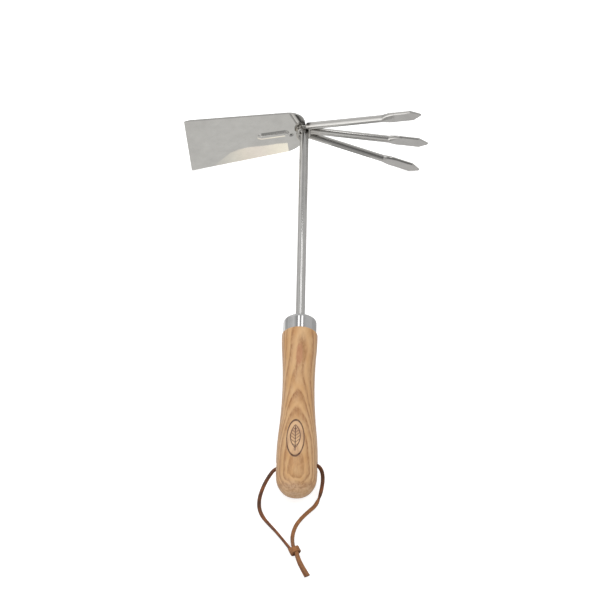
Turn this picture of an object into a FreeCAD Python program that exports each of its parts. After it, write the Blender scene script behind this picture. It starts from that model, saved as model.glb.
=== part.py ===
# Hand rake: a two-sided hand cultivator with a hoe blade on one side and three
# tines on the other, a round steel shaft, a drawn ferrule, a turned ash handle
# and a leather hanging lace.
#
# Frame: +Z up, millimetres, real size.  The tool lies at rest on a flat surface
# (z = 0): the butt of the handle, the lower corner of the blade and the point of
# the lower tine touch it.  The handle's axis runs along +Y towards the head, the
# blade points to -X and the tines to +X.
#
# Every rigid piece is drawn in the tool's own axes (X across the head, Y along
# the handle from the butt, Z up) or in its own local axes, and its Placement
# carries it to the resting pose.
import FreeCAD, Part
import Sketcher
import math
import os

V = FreeCAD.Vector
doc = FreeCAD.newDocument("hand_rake")

# ---------------------------------------------------------------- dimensions
DIMS = [
    # handle, turned ash
    ("handle_length", 130.8), ("butt_flat_radius", 4.394),
    ("butt_arc_radius", 7.988), ("butt_arc_y", 2.405), ("butt_arc_x", 10.1075),
    ("palm_arc_radius", 15.874), ("palm_arc_y", 12.721), ("palm_arc_x", 14.6097),
    ("belly_arc_radius", 250.61), ("belly_arc_y", 50.273), ("belly_arc_x", 13.6361),
    ("waist_arc_radius", 366.98), ("waist_arc_y", 115.75), ("waist_arc_x", 12.8765),
    ("collar_arc_radius", 168.365), ("collar_y", 129.4), ("collar_x", 13.384),
    ("collar_edge_radius", 1.4),
    ("tenon_radius", 11.35), ("tenon_end", 139.9),
    ("bore_radius", 3.8), ("bore_bottom", 72.0),
    ("lace_hole_y", 22.2), ("lace_hole_radius", 3.3), ("lace_hole_edge", 0.6),
    # ferrule, drawn stainless cap
    ("ferrule_radius", 12.4), ("ferrule_wall", 1.0), ("ferrule_end", 142.8),
    ("ferrule_edge", 2.6), ("ferrule_hole", 3.55),
    # shaft, round bar
    ("shaft_radius", 3.5), ("tang_start", 75.0), ("tang_chamfer", 1.0),
    ("shaft_end_low", 320.465), ("shaft_end_high", 322.275),
    # blade, sheet with a pressed rib
    ("blade_root_y", 320.05), ("blade_droop", 9.15), ("sheet", 1.5),
    ("blade_length", 94.0), ("blade_edge_half", 32.42), ("blade_taper_half", 24.65),
    ("blade_taper_x", 15.13), ("blade_inner", 1.32), ("blade_inner_half", 6.74),
    ("blade_shoulder_radius", 18.0),
    ("bevel_length", 5.0), ("edge_thickness", 0.5), ("blade_corner", 0.9),
    ("neck_bend_radius", 25.0), ("neck_x", 15.157), ("neck_in_x", 12.848),
    ("neck_in_z", 0.107), ("neck_top_x", 12.986), ("neck_top_z", 1.6),
    ("neck_root_z", 1.421), ("neck_root_top_x", 1.181), ("neck_root_top_z", 2.915),
    ("rib_start", 16.5), ("rib_end", 34.0), ("rib_half", 4.2), ("rib_height", 1.5),
    ("dimple_x", 10.4), ("dimple_y", -2.6), ("dimple_radius", 1.35), ("dimple_depth", 0.5),
    ("dimple_rise", 0.33),
    # tines, round rod with flattened, pointed ends
    ("tine_radius", 2.85), ("tine_root_y", 320.35), ("tine_droop", 8.55),
    ("tine_length", 95.5), ("tine_spread", 18.744),
    ("tine_mid_x", 4.0), ("tine_side_x", 2.7), ("tine_side_z", 5.6),
    ("paddle_start", 64.0), ("paddle_full", 75.0), ("paddle_half", 5.0),
    ("paddle_thick", 2.6), ("point_length", 8.0), ("point_half", 0.55),
    ("point_thin", 12.0), ("point_thick", 1.1),
    # weld metal
    ("weld_toe_y", 313.8), ("weld_toe_x", 3.65), ("weld_inner", 3.3),
    ("weld_ring_radius", 6.6), ("weld_ring_y", 318.9), ("weld_ring_top", 321.3),
    ("weld_ring_arc", 4.6),
    ("bead_x", 2.45), ("bead_y", 320.95), ("bead_radius", 1.95), ("bead_half", 5.6),
    # hanging lace, leather
    ("lace_diameter", 2.7),
    ("knot_half_x", 4.4), ("knot_half_y", 3.3), ("knot_half_z", 2.8),
    # resting pose: tilt about X, roll about Y, then the shift
    ("rest_tilt", 4.0652), ("rest_roll", -1.9669),
    ("rest_x", -2.205), ("rest_y", -161.331), ("rest_z", 13.6705),
]
sheet = doc.addObject("Spreadsheet::Sheet", "dims")
for row, (alias, value) in enumerate(DIMS, 1):
    sheet.set("A%d" % row, alias)
    sheet.set("B%d" % row, repr(value))
    sheet.setAlias("B%d" % row, alias)
doc.recompute()


def dim(text):
    """Value of an expression over the sheet's aliases; names are written bare."""
    return float(sheet.evalExpression(text))


def bound(text):
    """The same expression as a sketch or feature outside the sheet reads it."""
    out, word = "", ""
    names = {a for a, _ in DIMS}
    for ch in text + " ":
        if ch.isalnum() or ch == "_":
            word += ch
            continue
        out += ("dims." + word) if word in names else word
        word = ""
        out += ch
    return out.strip()


# ---------------------------------------------------------------- helpers
def rest_placement():
    """Roll about the handle's axis, tilt of the head upwards, then the shift."""
    roll = FreeCAD.Rotation(V(0, 1, 0), dim("rest_roll"))
    tilt = FreeCAD.Rotation(V(1, 0, 0), dim("rest_tilt"))
    return FreeCAD.Placement(V(dim("rest_x"), dim("rest_y"), dim("rest_z")), tilt.multiply(roll))


REST = rest_placement()


def body(name, local=None):
    b = doc.addObject("PartDesign::Body", name)
    b.Label = name
    b.Placement = REST if local is None else REST.multiply(local)
    return b


def plane(b, role):
    for f in b.Origin.OriginFeatures:
        if f.Role == role:
            return f
    raise RuntimeError("no plane " + role)


def sketch(b, role, name, offset=None):
    s = b.newObject("Sketcher::SketchObject", name)
    s.AttachmentSupport = [(plane(b, role), "")]
    s.MapMode = "FlatFace"
    if offset is not None:
        s.AttachmentOffset.Base.z = 0
        s.setExpression("AttachmentOffset.Base.z", bound(offset))
    return s


def pin(s, geo, pos, ex, ey, tag):
    """Fixes a sketch point at two expressions, bound to the sheet."""
    x, y = dim(ex), dim(ey)
    if abs(x) < 1e-9 and abs(y) < 1e-9:
        s.addConstraint(Sketcher.Constraint("Coincident", geo, pos, -1, 1))
        return
    for kind, value, text, axis in (("DistanceX", x, ex, -2), ("DistanceY", y, ey, -1)):
        if abs(value) < 1e-9:
            s.addConstraint(Sketcher.Constraint("PointOnObject", geo, pos, axis))
        else:
            i = s.addConstraint(Sketcher.Constraint(kind, -1, 1, geo, pos, value))
            label = "%s_%s" % (tag, kind[-1].lower())
            s.renameConstraint(i, label)
            s.setExpression("Constraints." + label, bound(text))


def outline(s, points, edges, tag):
    """Closed outline: points are pairs of expressions; edges are None for a line
    or (radius expression, side) for an arc that bulges to the right of its
    direction (side +1) or to the left (side -1)."""
    n = len(points)
    xy = [(dim(a), dim(b)) for a, b in points]
    ends = []
    for i in range(n):
        p, q = V(xy[i][0], xy[i][1], 0), V(xy[(i + 1) % n][0], xy[(i + 1) % n][1], 0)
        e = edges[i]
        if e is None:
            g = s.addGeometry(Part.LineSegment(p, q), False)
            ends.append((g, 1, 2))
            continue
        rad, side = dim(e[0]), e[1]
        chord = q.sub(p)
        half = chord.Length / 2
        left = V(-chord.y, chord.x, 0).normalize()
        h = math.sqrt(max(rad * rad - half * half, 0.0))
        centre = p.add(q).multiply(0.5).add(left * (h * side))
        a = math.atan2(p.y - centre.y, p.x - centre.x)
        b = math.atan2(q.y - centre.y, q.x - centre.x)
        circle = Part.Circle(centre, V(0, 0, 1), rad)
        if side > 0:
            g = s.addGeometry(Part.ArcOfCircle(circle, a, b), False)
            ends.append((g, 1, 2))
        else:
            g = s.addGeometry(Part.ArcOfCircle(circle, b, a), False)
            ends.append((g, 2, 1))
        i2 = s.addConstraint(Sketcher.Constraint("Radius", g, rad))
        label = "%s%d_r" % (tag, i)
        s.renameConstraint(i2, label)
        s.setExpression("Constraints." + label, bound(e[0]))
    for i in range(n):
        g, _, last = ends[i]
        g2, first, _ = ends[(i + 1) % n]
        s.addConstraint(Sketcher.Constraint("Coincident", g, last, g2, first))
    for i in range(n):
        g, first, _ = ends[i]
        pin(s, g, first, points[i][0], points[i][1], "%s%d" % (tag, i))
    return ends


def circle(s, ex, ey, er, tag):
    g = s.addGeometry(Part.Circle(V(dim(ex), dim(ey), 0), V(0, 0, 1), dim(er)), False)
    i = s.addConstraint(Sketcher.Constraint("Radius", g, dim(er)))
    s.renameConstraint(i, tag + "_r")
    s.setExpression("Constraints." + tag + "_r", bound(er))
    pin(s, g, 3, ex, ey, tag)


def revolve(b, s, name, kind="PartDesign::Revolution"):
    f = b.newObject(kind, name)
    f.Profile = s
    f.ReferenceAxis = (s, ["V_Axis"])
    f.Angle = 360.0
    return f


def pocket_through(b, s, name):
    f = b.newObject("PartDesign::Pocket", name)
    f.Profile = s
    f.Type = "ThroughAll"
    f.Midplane = True
    return f


def must_cut(b, before, name):
    doc.recompute()
    after = b.Tip.Shape.Volume
    print("%s: %.2f -> %.2f mm3" % (name, before, after))
    if not after < before - 1e-3:
        raise RuntimeError(name + " cuts nothing")
    return after


# ---------------------------------------------------------------- handle
# Turned ash: small flat at the butt, palm swell, slim waist, collar under the
# ferrule, a tenon that the ferrule covers and a blind bore for the tang.
handle = body("handle")
s = sketch(handle, "XY_Plane", "handle_profile")
outline(s, [
    ("0", "0"), ("butt_flat_radius", "0"), ("butt_arc_x", "butt_arc_y"),
    ("palm_arc_x", "palm_arc_y"), ("belly_arc_x", "belly_arc_y"),
    ("waist_arc_x", "waist_arc_y"), ("collar_x", "collar_y"),
    ("collar_x - collar_edge_radius", "handle_length"),
    ("tenon_radius", "handle_length"), ("tenon_radius", "tenon_end - 1"),
    ("tenon_radius - 1", "tenon_end"), ("bore_radius", "tenon_end"),
    ("bore_radius", "bore_bottom"), ("0", "bore_bottom")],
    [None, ("butt_arc_radius", 1), ("palm_arc_radius", 1), ("belly_arc_radius", 1),
     ("waist_arc_radius", -1), ("collar_arc_radius", 1), ("collar_edge_radius", 1),
     None, None, None, None, None, None, None], "p")
revolve(handle, s, "handle_turned")
doc.recompute()
vol = handle.Tip.Shape.Volume
s = sketch(handle, "YZ_Plane", "lace_hole")
circle(s, "lace_hole_y", "0", "lace_hole_radius", "hole")
pocket_through(handle, s, "lace_bore")
vol = must_cut(handle, vol, "lace_bore")
# the two mouths of the lace hole are eased
mouths = []
for i, e in enumerate(handle.Tip.Shape.Edges, 1):
    c = e.CenterOfMass
    if abs(c.y - dim("lace_hole_y")) < 2 and abs(c.x) > 12 and abs(c.z) < 3 and 8 < e.Length < 30:
        mouths.append("Edge%d" % i)
print("lace hole mouth edges:", mouths)
if mouths:
    f = handle.newObject("PartDesign::Fillet", "lace_hole_mouths")
    f.Base = (doc.getObject("lace_bore"), mouths)
    f.setExpression("Radius", bound("lace_hole_edge"))
    must_cut(handle, vol, "lace_hole_mouths")

# ---------------------------------------------------------------- ferrule
# One drawn cap: straight skirt over the tenon, rounded edge, flat top with the
# shaft's hole.
ferrule = body("ferrule")
s = sketch(ferrule, "XY_Plane", "ferrule_profile")
outline(s, [
    ("ferrule_radius", "handle_length"), ("ferrule_radius", "ferrule_end - ferrule_edge"),
    ("ferrule_radius - ferrule_edge", "ferrule_end"), ("ferrule_hole", "ferrule_end"),
    ("ferrule_hole", "ferrule_end - ferrule_wall"),
    ("ferrule_radius - ferrule_edge", "ferrule_end - ferrule_wall"),
    ("ferrule_radius - ferrule_wall", "ferrule_end - ferrule_edge"),
    ("ferrule_radius - ferrule_wall", "handle_length")],
    [None, ("ferrule_edge", 1), None, None, None, ("ferrule_edge - ferrule_wall", -1), None, None], "f")
revolve(ferrule, s, "ferrule_drawn")

# ---------------------------------------------------------------- adhesive
# Epoxy that fills the bore round the tang, open at the ferrule end.
adhesive = body("tang_adhesive")
s = sketch(adhesive, "XY_Plane", "adhesive_profile")
outline(s, [
    ("0", "bore_bottom"), ("bore_radius", "bore_bottom"), ("bore_radius", "tenon_end"),
    ("shaft_radius", "tenon_end"), ("shaft_radius", "tang_start + tang_chamfer"),
    ("shaft_radius - tang_chamfer", "tang_start"), ("0", "tang_start")],
    [None] * 7, "g")
revolve(adhesive, s, "adhesive_cured")

# ---------------------------------------------------------------- shaft
# Round bar from the tang to the underside of the blade, cut to the blade's slope.
shaft = body("shaft")
s = sketch(shaft, "XY_Plane", "shaft_profile")
outline(s, [
    ("0", "tang_start"), ("shaft_radius - tang_chamfer", "tang_start"),
    ("shaft_radius", "tang_start + tang_chamfer"), ("shaft_radius", "shaft_end_high + 1"),
    ("0", "shaft_end_high + 1")], [None] * 5, "s")
revolve(shaft, s, "shaft_bar")
doc.recompute()
vol = shaft.Tip.Shape.Volume
s = sketch(shaft, "XY_Plane", "shaft_end_slope")
outline(s, [
    ("-shaft_radius * 2", "shaft_end_low - (shaft_end_high - shaft_end_low) / 2"),
    ("shaft_radius * 2", "shaft_end_high + (shaft_end_high - shaft_end_low) / 2"),
    ("shaft_radius * 2", "shaft_end_high + 6"), ("-shaft_radius * 2", "shaft_end_high + 6")],
    [None] * 4, "c")
pocket_through(shaft, s, "shaft_end_cut")
must_cut(shaft, vol, "shaft_end_cut")

# ---------------------------------------------------------------- blade
# Sheet blade in its own axes: X outwards along the sheet, Y across (up when the
# tool lies at rest), Z away from the handle.  The underside is z = 0 outside the
# neck bend.
droop = math.radians(dim("blade_droop"))
blade_axes = FreeCAD.Placement(FreeCAD.Matrix(
    -math.cos(droop), 0, -math.sin(droop), 0,
    -math.sin(droop), 0, math.cos(droop), dim("blade_root_y"),
    0, 1, 0, 0,
    0, 0, 0, 1))
blade = body("blade", blade_axes)
s = sketch(blade, "XZ_Plane", "blade_side")
outline(s, [
    ("blade_length", "0"), ("blade_length", "edge_thickness"),
    ("blade_length - bevel_length", "sheet"), ("neck_x", "sheet"),
    ("neck_top_x", "neck_top_z"), ("-neck_root_top_x", "neck_root_top_z"),
    ("-blade_inner", "neck_root_z"), ("neck_in_x", "neck_in_z"), ("neck_x", "0")],
    [None, None, None, ("neck_bend_radius - sheet", -1), None, None, None,
     ("neck_bend_radius", 1), None], "b")
f = blade.newObject("PartDesign::Pad", "blade_sheet")
f.Profile = s
f.Midplane = True
f.setExpression("Length", bound("blade_edge_half * 2 + 4"))
doc.recompute()
vol = blade.Tip.Shape.Volume
# outline seen along the shaft: tapered sides, large shoulders, short inner end
s = sketch(blade, "XY_Plane", "blade_outline")
far = "blade_length + 10"
outline(s, [
    (far, "-60"), (far, "60"), ("-20", "60"), ("-20", "-60")], [None] * 4, "w")
outline(s, [
    ("blade_length", "-blade_edge_half + blade_corner"), ("blade_length", "blade_edge_half - blade_corner"),
    ("blade_length - blade_corner", "blade_edge_half - 0.157"),
    ("blade_taper_x", "blade_taper_half"),
    ("-blade_inner", "blade_inner_half"), ("-blade_inner", "-blade_inner_half"),
    ("blade_taper_x", "-blade_taper_half"),
    ("blade_length - blade_corner", "-blade_edge_half + 0.157")],
    [None, ("blade_corner", 1), None, ("blade_shoulder_radius", 1), None,
     ("blade_shoulder_radius", 1), None, ("blade_corner", 1)], "o")
pocket_through(blade, s, "blade_trim")
vol = must_cut(blade, vol, "blade_trim")

# pressed rib: a shallow rounded swage, proud on the underside and hollow on top
RIB_R = "(rib_half^2 + rib_height^2) / (2 * rib_height)"
RIB_IN = "((rib_half^2 + rib_height^2) / (2 * rib_height) - sheet)"
RIB_IN_HALF = "sqrt(" + RIB_IN + "^2 - (" + RIB_IN + " - sheet)^2)"


def local_sketch(b, role, name, dx=None, dz=None):
    """Sketch on an origin plane, shifted in the plane (dx) or off it (dz)."""
    s = sketch(b, role, name)
    if dx is not None:
        s.setExpression("AttachmentOffset.Base.x", bound(dx))
    if dz is not None:
        s.setExpression("AttachmentOffset.Base.z", bound(dz))
    return s


s = local_sketch(blade, "YZ_Plane", "rib_section", dz="rib_start")
outline(s, [("-rib_half", "0"), ("rib_half", "0"), ("rib_half", "0.4"), ("-rib_half", "0.4")],
        [(RIB_R, 1), None, None, None], "r")
f = blade.newObject("PartDesign::Pad", "rib_bar")
f.Profile = s
f.setExpression("Length", bound("rib_end - rib_start"))
for k, at in enumerate(("rib_start", "rib_end")):
    s = local_sketch(blade, "XZ_Plane", "rib_end_%d" % k, dx=at)
    outline(s, [("0", "-rib_height"), ("rib_half", "0"), ("rib_half", "0.4"), ("0", "0.4")],
            [(RIB_R, 1), None, None, None], "e")
    revolve(blade, s, "rib_dome_%d" % k)
doc.recompute()
vol = blade.Tip.Shape.Volume
s = local_sketch(blade, "YZ_Plane", "rib_hollow_section", dz="rib_start")
outline(s, [("-" + RIB_IN_HALF, "sheet"), (RIB_IN_HALF, "sheet"),
            (RIB_IN_HALF, "sheet + 0.6"), ("-" + RIB_IN_HALF, "sheet + 0.6")],
        [(RIB_IN, 1), None, None, None], "r")
f = blade.newObject("PartDesign::Pocket", "rib_hollow")
f.Profile = s
f.Reversed = True
f.setExpression("Length", bound("rib_end - rib_start"))
vol = must_cut(blade, vol, "rib_hollow")
for k, at in enumerate(("rib_start", "rib_end")):
    s = local_sketch(blade, "XZ_Plane", "rib_hollow_end_%d" % k, dx=at)
    outline(s, [("0", "0"), (RIB_IN_HALF, "sheet"), (RIB_IN_HALF, "sheet + 0.6"), ("0", "sheet + 0.6")],
            [(RIB_IN, 1), None, None, None], "e")
    revolve(blade, s, "rib_hollow_dome_%d" % k, "PartDesign::Groove")
    vol = must_cut(blade, vol, "rib_hollow_dome_%d" % k)
# small punched dimple in the neck
s = local_sketch(blade, "XZ_Plane", "dimple_profile", dx="dimple_x", dz="-dimple_y")
outline(s, [("0", "0"), ("dimple_radius", "0"), ("dimple_radius * 0.55", "dimple_depth + dimple_rise"),
            ("0", "dimple_depth + dimple_rise")], [None] * 4, "d")
revolve(blade, s, "neck_dimple", "PartDesign::Groove")
vol = must_cut(blade, vol, "neck_dimple")

# ---------------------------------------------------------------- tines
# Round rods side by side at the root, fanned out, each end flattened into a
# paddle and brought to a point.  Local axes: X along the tine, Y across the
# paddle, Z towards the handle.
tilt = math.radians(dim("tine_droop"))


def tine(name, ex, ez, sign):
    spread = math.radians(dim("tine_spread")) * sign
    along = V(math.cos(tilt), -math.sin(tilt), 0)
    up = V(0, 0, 1)
    ax = along * math.cos(spread) + up * math.sin(spread)
    ay = up * math.cos(spread) - along * math.sin(spread)
    az = ax.cross(ay)
    axes = FreeCAD.Placement(FreeCAD.Matrix(
        ax.x, ay.x, az.x, dim(ex), ax.y, ay.y, az.y, dim("tine_root_y"),
        ax.z, ay.z, az.z, dim(ez) * sign, 0, 0, 0, 1))
    b = body(name, axes)
    s = sketch(b, "YZ_Plane", name + "_rod_section")
    circle(s, "0", "0", "tine_radius", "rod")
    f = b.newObject("PartDesign::Pad", name + "_rod")
    f.Profile = s
    f.setExpression("Length", bound("paddle_start"))
    sections = []
    stages = (("paddle_start", "tine_radius * 0.70711", "tine_radius * 0.70711", "tine_radius", "tine_radius"),
              ("paddle_start + (paddle_full - paddle_start) * 0.5", "paddle_half - 1.32", "paddle_thick / 2 + 0.42", "2.0", "14"),
              ("paddle_full", "paddle_half - 0.752", "paddle_thick / 2", "1.5", "300"),
              ("tine_length", "paddle_half - 0.752", "paddle_thick / 2", "1.5", "300"))
    for k, (at, hy, hz, side, flat) in enumerate(stages):
        s = local_sketch(b, "YZ_Plane", "%s_section_%d" % (name, k), dz=at)
        outline(s, [(hy, "-(" + hz + ")"), (hy, hz), ("-(" + hy + ")", hz), ("-(" + hy + ")", "-(" + hz + ")")],
                [(side, 1), (flat, 1), (side, 1), (flat, 1)], "t")
        sections.append(s)
    f = b.newObject("PartDesign::AdditiveLoft", name + "_forged")
    f.Profile = sections[0]
    f.Sections = sections[1:3]
    f.Ruled = False
    f = b.newObject("PartDesign::AdditiveLoft", name + "_paddle")
    f.Profile = sections[2]
    f.Sections = [sections[3]]
    f.Ruled = True
    doc.recompute()
    vol = b.Tip.Shape.Volume
    s = sketch(b, "XY_Plane", name + "_point")
    for sg, tag in (("", "u"), ("-", "l")):
        pts = [("tine_length - point_length", sg + "(paddle_half + 0.05)"), ("tine_length + 0.01", sg + "point_half"),
               ("tine_length + 1", sg + "point_half"), ("tine_length + 1", sg + "7"), ("tine_length - point_length", sg + "7")]
        outline(s, pts, [None] * 5, tag)
    pocket_through(b, s, name + "_point_cut")
    vol = must_cut(b, vol, name + "_point_cut")
    s = sketch(b, "XZ_Plane", name + "_thin")
    for sg, tag in (("", "u"), ("-", "l")):
        pts = [("tine_length - point_thin", sg + "(paddle_thick / 2 + 0.02)"), ("tine_length + 0.01", sg + "point_thick / 2"),
               ("tine_length + 1", sg + "point_thick / 2"), ("tine_length + 1", sg + "5"), ("tine_length - point_thin", sg + "5")]
        outline(s, pts, [None] * 5, tag)
    pocket_through(b, s, name + "_thin_cut")
    must_cut(b, vol, name + "_thin_cut")
    return b


tine_upper = tine("tine_upper", "tine_side_x", "tine_side_z", 1)
tine_middle = tine("tine_middle", "tine_mid_x", "0", 0)
tine_lower = tine("tine_lower", "tine_side_x", "tine_side_z", -1)

# ---------------------------------------------------------------- weld
# One deposit of weld metal: a rounded collar round the end of the shaft, against
# the underside of the blade, and a bead across the roots of the tines.
collar = body("weld_collar")
s = sketch(collar, "XY_Plane", "weld_collar_profile")
outline(s, [
    ("shaft_radius", "weld_toe_y"), ("weld_toe_x", "weld_toe_y"),
    ("weld_ring_radius", "weld_ring_y"), ("weld_ring_radius", "weld_ring_top"),
    ("shaft_radius", "weld_ring_top")],
    [None, ("weld_ring_arc", 1), None, None, None], "k")
revolve(collar, s, "weld_collar_ring")
doc.recompute()
vol = collar.Tip.Shape.Volume
s = sketch(collar, "XY_Plane", "weld_collar_slope")
SLOPE = "(shaft_end_high - shaft_end_low) / (2 * shaft_radius)"
MIDY = "(shaft_end_high + shaft_end_low) / 2"
outline(s, [
    ("-12", MIDY + " - 12 * " + SLOPE), ("12", MIDY + " + 12 * " + SLOPE),
    ("12", "shaft_end_high + 9"), ("-12", "shaft_end_high + 9")], [None] * 4, "c")
pocket_through(collar, s, "weld_collar_cut")
must_cut(collar, vol, "weld_collar_cut")

bead_axes = FreeCAD.Placement(FreeCAD.Matrix(
    1, 0, 0, dim("bead_x"), 0, 0, -1, dim("bead_y"), 0, 1, 0, 0, 0, 0, 0, 1))
bead = body("weld_bead", bead_axes)
s = sketch(bead, "XY_Plane", "weld_bead_profile")
outline(s, [
    ("0", "-bead_half - bead_radius * 0.8"), ("bead_radius * 0.6", "-bead_half - bead_radius * 0.5"),
    ("bead_radius", "-bead_half"), ("bead_radius", "bead_half"),
    ("bead_radius * 0.6", "bead_half + bead_radius * 0.5"), ("0", "bead_half + bead_radius * 0.8")],
    [None, None, None, None, None, None], "m")
revolve(bead, s, "weld_bead_bar")
doc.recompute()

deposit = doc.addObject("Part::MultiFuse", "weld_deposit")
deposit.Shapes = [collar, bead]
steel = doc.addObject("Part::Compound", "welded_steel")
steel.Links = [shaft, blade, tine_upper, tine_middle, tine_lower]
weld = doc.addObject("Part::Cut", "head_weld")
weld.Label = "head_weld"
weld.Base = deposit
weld.Tool = steel
doc.recompute()
print("weld solids:", [round(x.Volume, 3) for x in weld.Shape.Solids])

# ---------------------------------------------------------------- lace
# One leather lace: through the hole, down to the surface on each side, knotted
# behind the butt, two short tails.  Points of the route, millimetres, in the
# frame of the part; runs joined by tangent arcs.
LACE_LEFT = [
    (-2.2, -139.2, 15.2), (-6.7, -139.5, 15.1), (-12.6, -139.6, 14.9), (-18.2, -141.2, 14.3),
    (-21.9, -146.0, 12.4), (-24.9, -150.4, 9.4), (-27.2, -155.0, 5.9), (-28.7, -160.2, 3.1),
    (-28.4, -166.6, 1.6), (-25.7, -172.8, 1.4), (-21.6, -177.9, 1.4), (-16.9, -183.1, 1.4),
    (-12.4, -188.7, 1.4), (-8.8, -193.6, 1.8), (-5.9, -197.8, 2.4)]
LACE_RIGHT = [
    (-2.2, -139.2, 15.2), (2.3, -138.9, 15.3), (8.2, -137.8, 15.6), (13.0, -138.1, 15.4),
    (15.9, -141.6, 13.7), (16.6, -146.5, 10.5), (15.9, -151.4, 6.6), (14.4, -157.0, 3.4),
    (11.6, -163.3, 1.8), (6.2, -167.9, 1.4), (1.5, -173.1, 1.4), (-2.3, -179.0, 1.4),
    (-4.2, -185.7, 1.4), (-4.4, -192.0, 1.6), (-3.4, -197.3, 3.3)]
TAIL_LEFT = [(-1.7, -201.0, 2.2), (0.3, -206.0, 1.5), (2.6, -212.0, 1.4), (5.4, -218.2, 1.4)]
TAIL_RIGHT = [(-0.6, -200.6, 4.5), (2.0, -205.4, 4.1), (4.5, -211.3, 3.75), (7.1, -217.3, 3.6)]


def lace_path(points, name):
    """Wire of straight runs joined by tangent arcs."""
    pts = [V(*p) for p in points]
    runs = [(pts[i + 1] - pts[i]).Length for i in range(len(pts) - 1)]
    edges, start, radii = [], pts[0], []
    for i in range(1, len(pts) - 1):
        a = (pts[i - 1] - pts[i]).normalize()
        b = (pts[i + 1] - pts[i]).normalize()
        turn = math.pi - a.getAngle(b)
        back = 0.45 * min(runs[i - 1], runs[i])
        radii.append(back / math.tan(turn / 2))
        p, q = pts[i] + a * back, pts[i] + b * back
        middle = (a + b).normalize()
        centre = pts[i] + middle * (radii[-1] / math.cos(turn / 2))
        m = centre - middle * radii[-1]
        edges.append(Part.LineSegment(start, p).toShape())
        edges.append(Part.Arc(p, m, q).toShape())
        start = q
    edges.append(Part.LineSegment(start, pts[-1]).toShape())
    wire = Part.Wire(edges)
    print("%s: length %.1f, runs %.1f to %.1f, radii %s" % (
        name, wire.Length, min(runs), max(runs), " ".join("%.1f" % r for r in radii)))
    return wire


def lace(name, points, cut_by=None):
    wire = lace_path(points, name)
    r = dim("lace_diameter") / 2
    first = wire.Edges[0]
    ring = Part.Wire([Part.Circle(first.Vertexes[0].Point, first.tangentAt(first.FirstParameter), r).toShape()])
    tube = wire.makePipeShell([ring], True, False)
    expected = math.pi * r * r * wire.Length
    print("%s: volume %.2f, section times length %.2f, valid %s" % (name, tube.Volume, expected, tube.isValid()))
    if cut_by is not None:
        tube = tube.cut(cut_by)
    tube = max(tube.Solids, key=lambda k: k.Volume)
    f = doc.addObject("Part::Feature", name)
    f.Label = name
    f.Shape = tube
    return f


knot = doc.addObject("Part::Ellipsoid", "lace_knot")
knot.Label = "lace_knot"
knot.setExpression("Radius1", bound("knot_half_z"))
knot.setExpression("Radius2", bound("knot_half_x"))
knot.setExpression("Radius3", bound("knot_half_y"))
knot.Placement = FreeCAD.Placement(V(-2.6, -199.4, 3.0), FreeCAD.Rotation(V(0, 0, 1), 6))
doc.recompute()
lace_left = lace("lace_left", LACE_LEFT, knot.Shape)
lace_right = lace("lace_right", LACE_RIGHT, knot.Shape)
tail_left = lace("lace_tail_left", TAIL_LEFT, knot.Shape)
tail_right = lace("lace_tail_right", TAIL_RIGHT, knot.Shape)
doc.recompute()

# ---------------------------------------------------------------- checks, export
NODES = [handle, ferrule, adhesive, shaft, blade, tine_upper, tine_middle, tine_lower,
         weld, lace_left, lace_right, knot, tail_left, tail_right]
for o in doc.Objects:
    for bad in ("Invalid", "Error"):
        if bad in o.State:
            raise RuntimeError("%s is %s" % (o.Name, o.State))
for o in NODES:
    sh = o.Shape
    if sh.isNull() or not sh.isValid() or len(sh.Solids) != 1:
        raise RuntimeError("%s: bad shape, %d solids" % (o.Label, len(sh.Solids)))

os.makedirs("parts", exist_ok=True)
for o in NODES:
    o.Shape.exportStep("parts/%s.step" % o.Label)
    b = o.Shape.BoundBox
    print("%-16s volume %9.1f  x %8.2f %8.2f  y %8.2f %8.2f  z %8.2f %8.2f" % (
        o.Label, o.Shape.Volume, b.XMin, b.XMax, b.YMin, b.YMax, b.ZMin, b.ZMax))
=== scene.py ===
import math
import bpy
import bmesh
from mathutils import Matrix, Vector


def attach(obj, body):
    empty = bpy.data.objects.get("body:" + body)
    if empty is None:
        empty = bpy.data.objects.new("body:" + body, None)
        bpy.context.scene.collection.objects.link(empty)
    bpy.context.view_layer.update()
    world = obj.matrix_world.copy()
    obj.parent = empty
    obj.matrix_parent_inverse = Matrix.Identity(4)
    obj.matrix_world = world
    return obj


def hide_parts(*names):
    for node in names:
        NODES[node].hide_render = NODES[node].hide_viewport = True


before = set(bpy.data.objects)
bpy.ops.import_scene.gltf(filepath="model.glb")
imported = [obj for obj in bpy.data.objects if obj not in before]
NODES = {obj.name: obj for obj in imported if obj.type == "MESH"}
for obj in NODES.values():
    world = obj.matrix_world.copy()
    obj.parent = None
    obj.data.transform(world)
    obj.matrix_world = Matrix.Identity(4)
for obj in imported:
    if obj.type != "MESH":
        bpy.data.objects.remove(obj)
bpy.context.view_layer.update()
scene = bpy.context.scene


# ---------------------------------------------------------------- camera
def look(place, right, up, forward, lens, shift):
    data = bpy.data.cameras.new("camera")
    cam = bpy.data.objects.new("camera", data)
    scene.collection.objects.link(cam)
    r, u, f = Vector(right), Vector(up), Vector(forward)
    m = Matrix((
        (r.x, u.x, -f.x, place[0]),
        (r.y, u.y, -f.y, place[1]),
        (r.z, u.z, -f.z, place[2]),
        (0.0, 0.0, 0.0, 1.0),
    ))
    cam.matrix_world = m
    data.sensor_width = 36.0
    data.sensor_fit = "HORIZONTAL"
    data.lens = lens
    data.shift_x, data.shift_y = shift
    data.clip_start, data.clip_end = 0.05, 20.0
    scene.camera = cam
    return cam


look(
    place=(0.0180827, -0.7383103, 1.0586877),
    right=(0.9997803, 0.0201309, -0.0058340),
    up=(-0.0133315, 0.8255803, 0.5641271),
    forward=(-0.0161728, 0.5639254, -0.8256674),
    lens=101.1446,
    shift=(0.000417, 0.058),
)


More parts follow.
